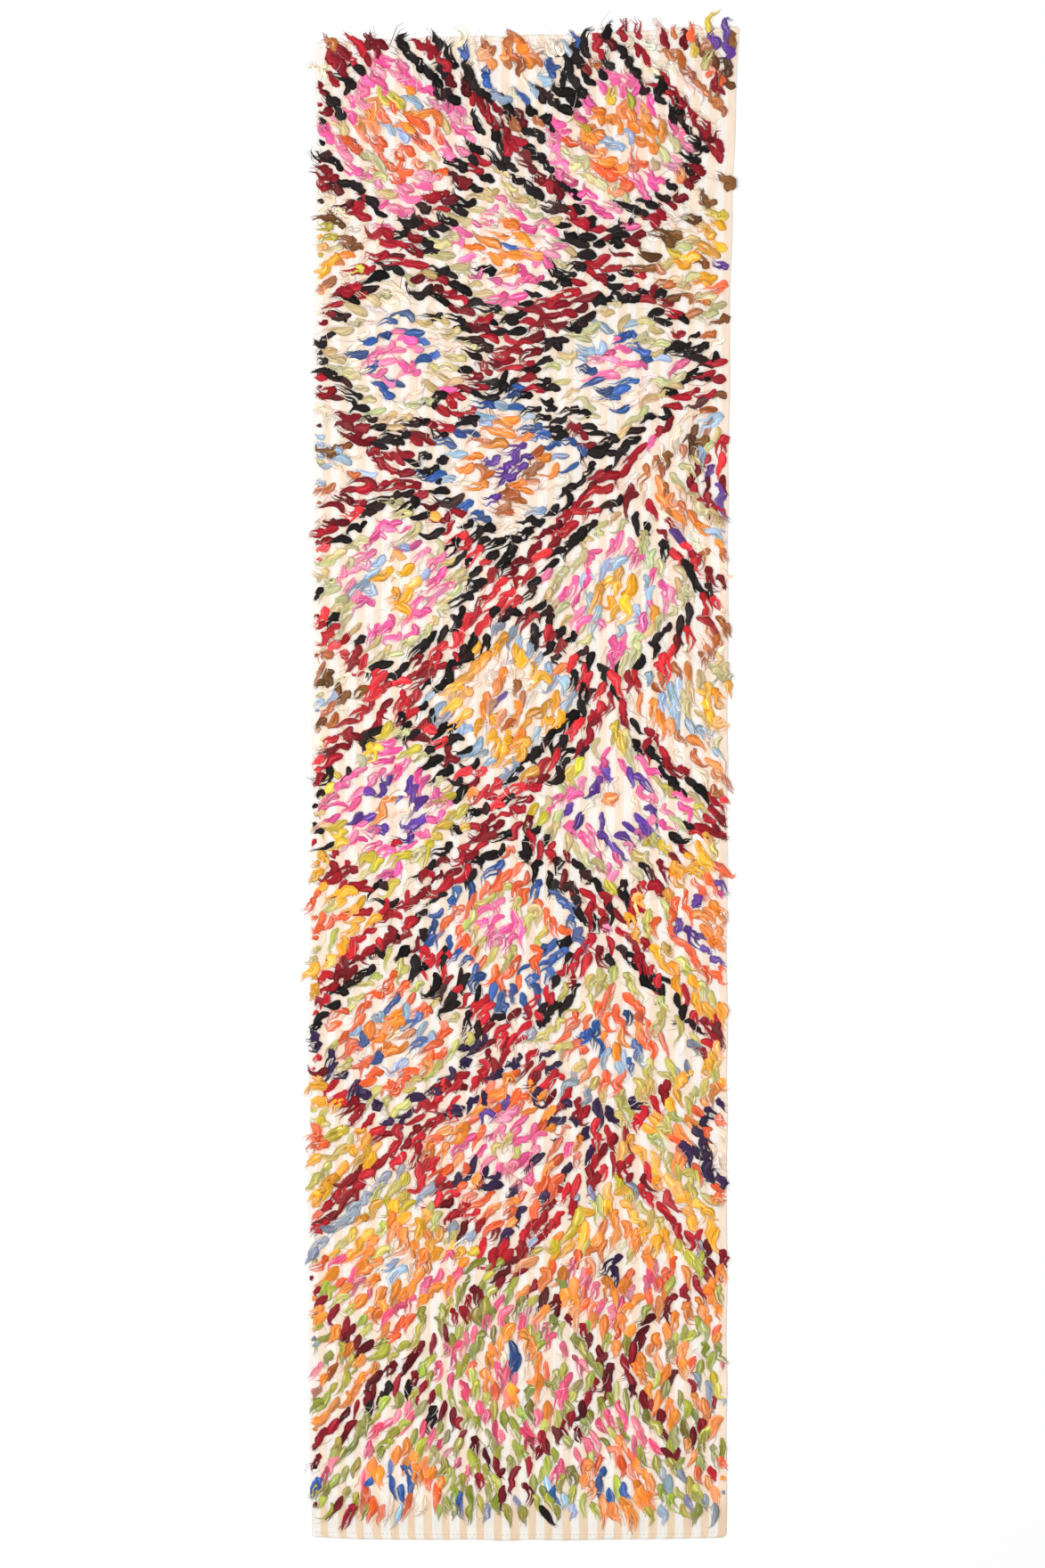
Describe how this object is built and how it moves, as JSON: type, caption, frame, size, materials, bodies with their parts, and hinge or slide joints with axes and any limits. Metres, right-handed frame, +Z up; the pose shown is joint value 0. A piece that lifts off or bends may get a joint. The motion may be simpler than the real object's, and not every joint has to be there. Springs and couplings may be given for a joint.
{
  "type": "kilim runner",
  "caption": "Long hand-knotted wool runner on a flat-woven striped ground, with fat unspun locks in a lattice of stepped diamonds.",
  "frame": {"origin": "middle of the rug's own box, on the floor under it", "axes": "+Y runs up the length from the bare striped foot band to the head, +X runs across to the right, +Z is up out of the pile"},
  "size_m": [0.9216, 3.133, 0.022],
  "materials": {
    "wool_pile": "soft unspun wool locks of many colours, low sheen, fibres running along each lock",
    "ground_weave": "matt weft-faced flat weave with lengthwise beige and off-white stripes",
    "hem_thread": "matt off-white cotton stitches along the turned hem",
    "wool_crimson": "soft unspun wool, low sheen",
    "wool_red": "soft unspun wool, low sheen",
    "wool_wine": "soft unspun wool, low sheen",
    "wool_pink": "soft unspun wool, low sheen",
    "wool_red_orange": "soft unspun wool, low sheen",
    "wool_orange": "soft unspun wool, low sheen",
    "wool_amber": "soft unspun wool, low sheen",
    "wool_mustard": "soft unspun wool, low sheen",
    "wool_lime": "soft unspun wool, low sheen",
    "wool_green": "soft unspun wool, low sheen",
    "wool_grey_green": "soft unspun wool, low sheen",
    "wool_cream": "soft unspun wool, fuzzy, low sheen",
    "wool_light_blue": "soft unspun wool, low sheen",
    "wool_blue": "soft unspun wool, low sheen",
    "wool_purple": "soft unspun wool, low sheen",
    "wool_aubergine": "soft unspun wool, low sheen",
    "wool_grey_blue": "soft unspun wool, low sheen",
    "wool_black": "soft unspun wool, low sheen",
    "wool_brown": "soft unspun wool, low sheen",
    "wool_rust": "soft unspun wool, low sheen"
  },
  "bodies": {
    "root": {"rug": "wool_pile"}
  },
  "joints": []
}
